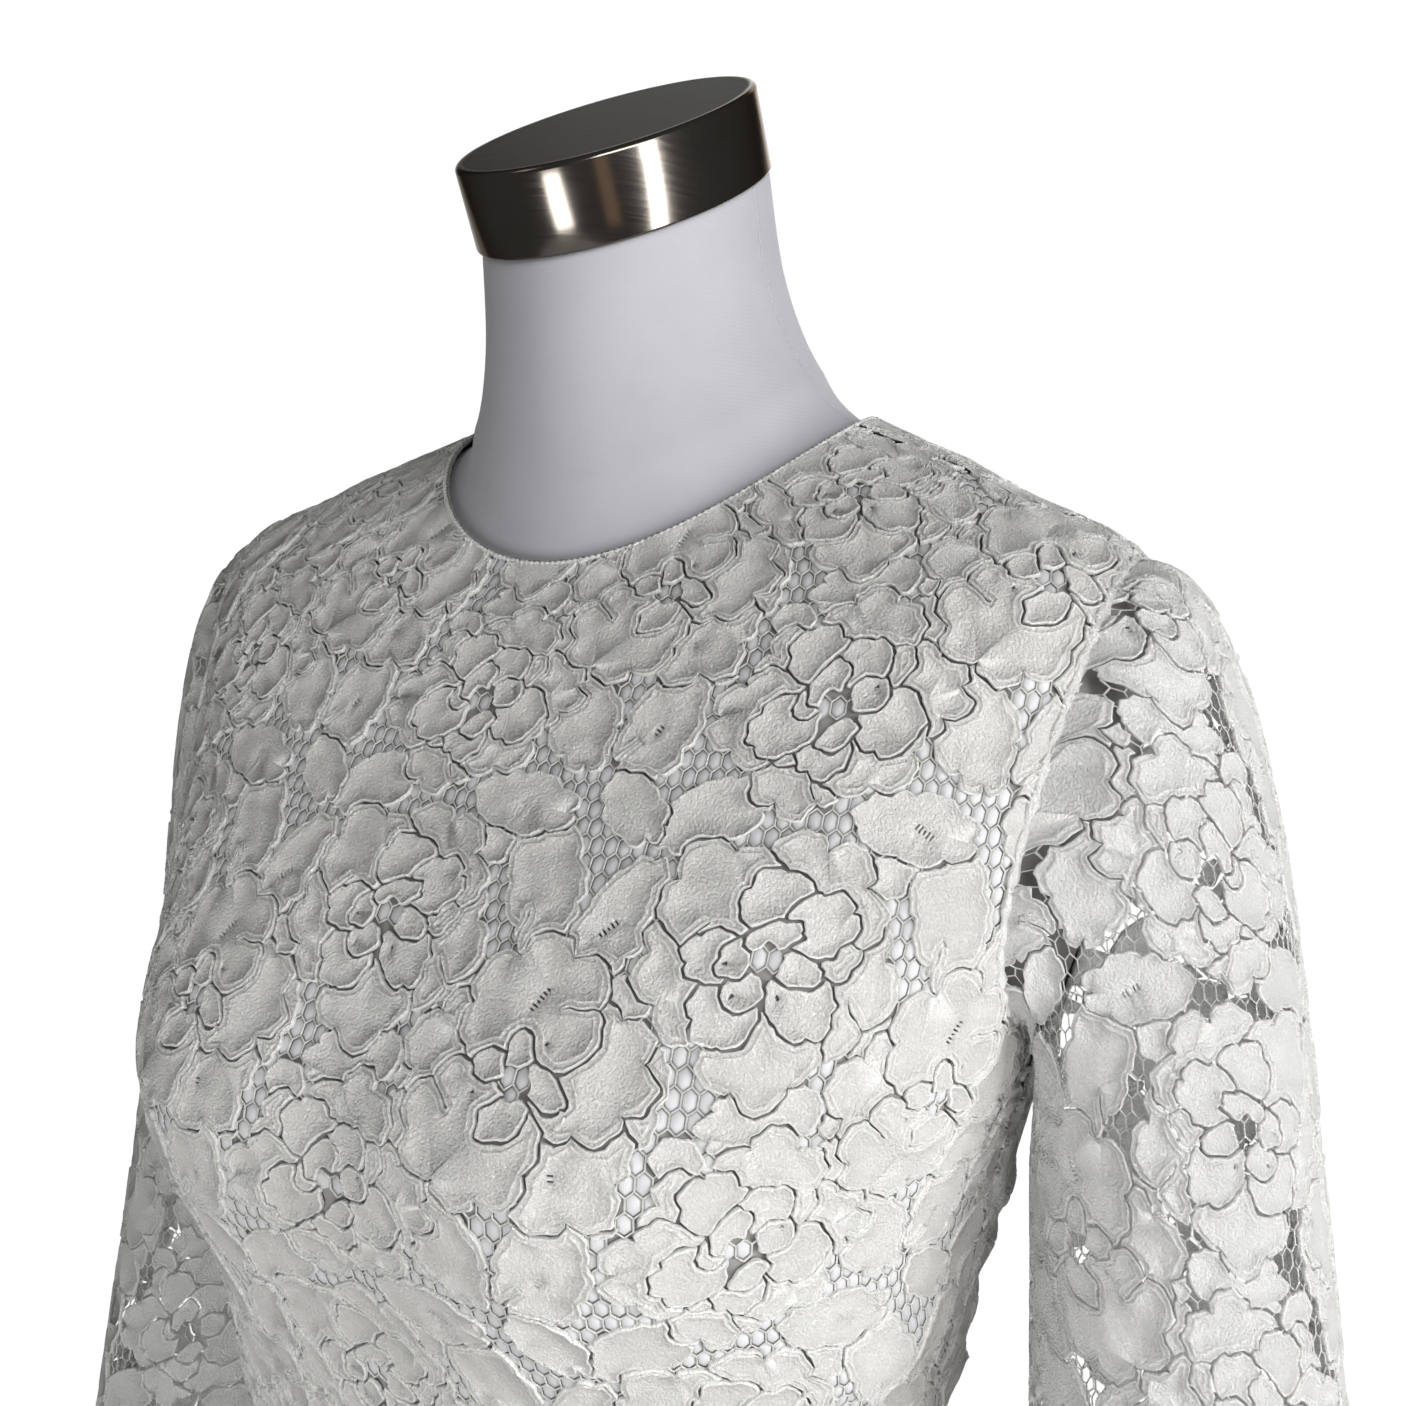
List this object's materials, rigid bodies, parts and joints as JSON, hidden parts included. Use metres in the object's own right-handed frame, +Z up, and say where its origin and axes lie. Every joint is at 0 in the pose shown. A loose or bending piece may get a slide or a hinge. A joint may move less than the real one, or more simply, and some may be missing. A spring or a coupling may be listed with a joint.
{
  "type": "party dress on dress form",
  "caption": "Fitted ivory corded-lace dress with round neck and loose lace sleeves on a limbless jersey dress form with metal neck cap, pole and round base.",
  "frame": {"origin": "middle of the flat underside of the stand's round base", "axes": "+Z up, the dress's front faces -Y, the wearer's left is +X"},
  "size_m": [0.5702, 0.36, 1.529],
  "materials": {
    "lace": "matt corded lace",
    "lining": "smooth satin-weave lining",
    "jersey": "fine white knit cover",
    "cap_metal": "dark nickel, polished side and satin top",
    "stand_steel": "satin",
    "zip_metal": "bright"
  },
  "bodies": {
    "dress_on_form": {"lace_front": "lace", "lace_back_left": "lace", "lace_back_right": "lace", "lining_front": "lining", "lining_back_left": "lining", "lining_back_right": "lining", "sleeve_left_front": "lace", "sleeve_left_back": "lace", "sleeve_right_front": "lace", "sleeve_right_back": "lace", "zip_slider": "zip_metal", "form_body": "jersey", "neck_cap": "cap_metal", "stand_pole": "stand_steel", "stand_base": "stand_steel"},
    "pull_tab": {"zip_pull_tab": "zip_metal"}
  },
  "joints": [
    {"name": "pull_tab_hinge", "type": "hinge", "parent": "dress_on_form", "child": "pull_tab", "pos_m": [0, 0.08371, 1.38978], "axis": [1, 0, 0], "range_deg": [0, 120]}
  ]
}
